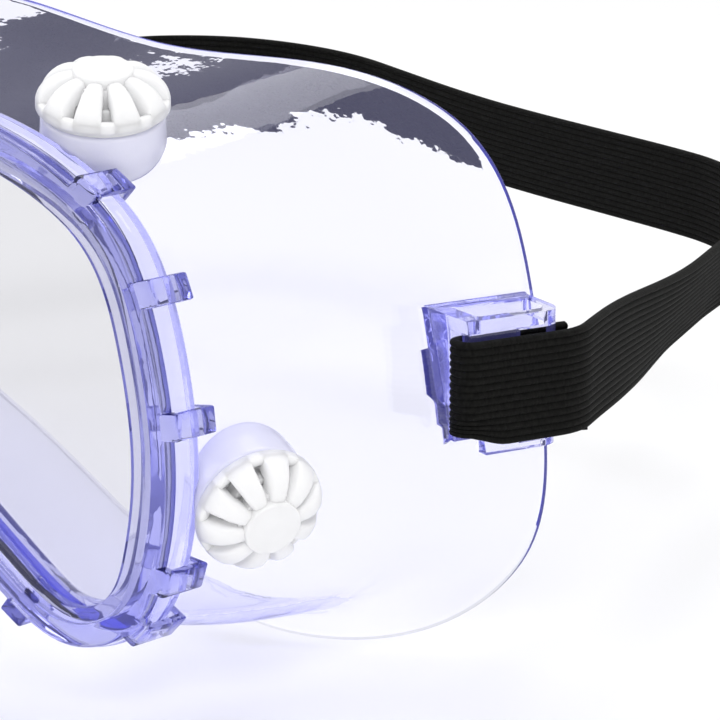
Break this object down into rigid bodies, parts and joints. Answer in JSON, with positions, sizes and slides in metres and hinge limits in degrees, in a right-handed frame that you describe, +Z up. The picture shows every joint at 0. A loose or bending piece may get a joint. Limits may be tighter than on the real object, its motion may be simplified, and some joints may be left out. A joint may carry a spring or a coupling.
{
  "type": "safety goggles",
  "caption": "Clear soft-framed splash goggles with a bent lens in a hooked bezel, finned indirect vents and an elastic headband threaded through moulded side guides.",
  "frame": {"origin": "on the standing surface, at the middle of the goggles' overall width and depth, headband included", "axes": "+X to the wearer's left, -Y out through the lens, +Z up as worn"},
  "size_m": [0.2016, 0.1718, 0.094],
  "materials": {
    "soft_pvc": "clear soft vinyl, glossy, with a violet cast where it is thick",
    "lens_clear": "polished clear polycarbonate",
    "bezel_clear": "clear rigid plastic with a violet cast, glossy",
    "vent_white": "white polypropylene, satin",
    "elastic_black": "ribbed woven elastic, matt"
  },
  "bodies": {
    "frame": {"face_frame": "soft_pvc", "lens": "lens_clear", "lens_bezel": "bezel_clear", "vent_base_upper_left": "vent_white", "vent_base_upper_right": "vent_white", "vent_base_lower_left": "vent_white", "vent_base_lower_right": "vent_white", "band_loop_left": "elastic_black", "band_loop_right": "elastic_black", "band_bend_left": "elastic_black", "band_bend_right": "elastic_black"},
    "headband": {"headband": "elastic_black"},
    "vent_cap_upper_left": {"vent_cap_upper_left": "vent_white"},
    "vent_cap_upper_right": {"vent_cap_upper_right": "vent_white"},
    "vent_cap_lower_left": {"vent_cap_lower_left": "vent_white"},
    "vent_cap_lower_right": {"vent_cap_lower_right": "vent_white"}
  },
  "joints": [
    {"name": "headband_tilt", "type": "hinge", "parent": "frame", "child": "headband", "pos_m": [0, 0.00016, 0.0437], "axis": [1, 0, 0], "range_deg": [-20, 60], "deforming": ["band_bend_left", "band_bend_right"]},
    {"name": "vent_cap_upper_left_turn", "type": "hinge", "parent": "frame", "child": "vent_cap_upper_left", "pos_m": [0.0579, -0.06388, 0.0787], "axis": [0.2, -0.15, 0.9682], "continuous": true},
    {"name": "vent_cap_upper_right_turn", "type": "hinge", "parent": "frame", "child": "vent_cap_upper_right", "pos_m": [-0.0579, -0.06388, 0.0787], "axis": [-0.2, -0.15, 0.9682], "continuous": true},
    {"name": "vent_cap_lower_left_turn", "type": "hinge", "parent": "frame", "child": "vent_cap_lower_left", "pos_m": [0.0781, -0.05777, 0.0326], "axis": [0.9012, -0.2804, -0.3304], "continuous": true},
    {"name": "vent_cap_lower_right_turn", "type": "hinge", "parent": "frame", "child": "vent_cap_lower_right", "pos_m": [-0.0781, -0.05777, 0.0326], "axis": [-0.9012, -0.2804, -0.3304], "continuous": true}
  ]
}
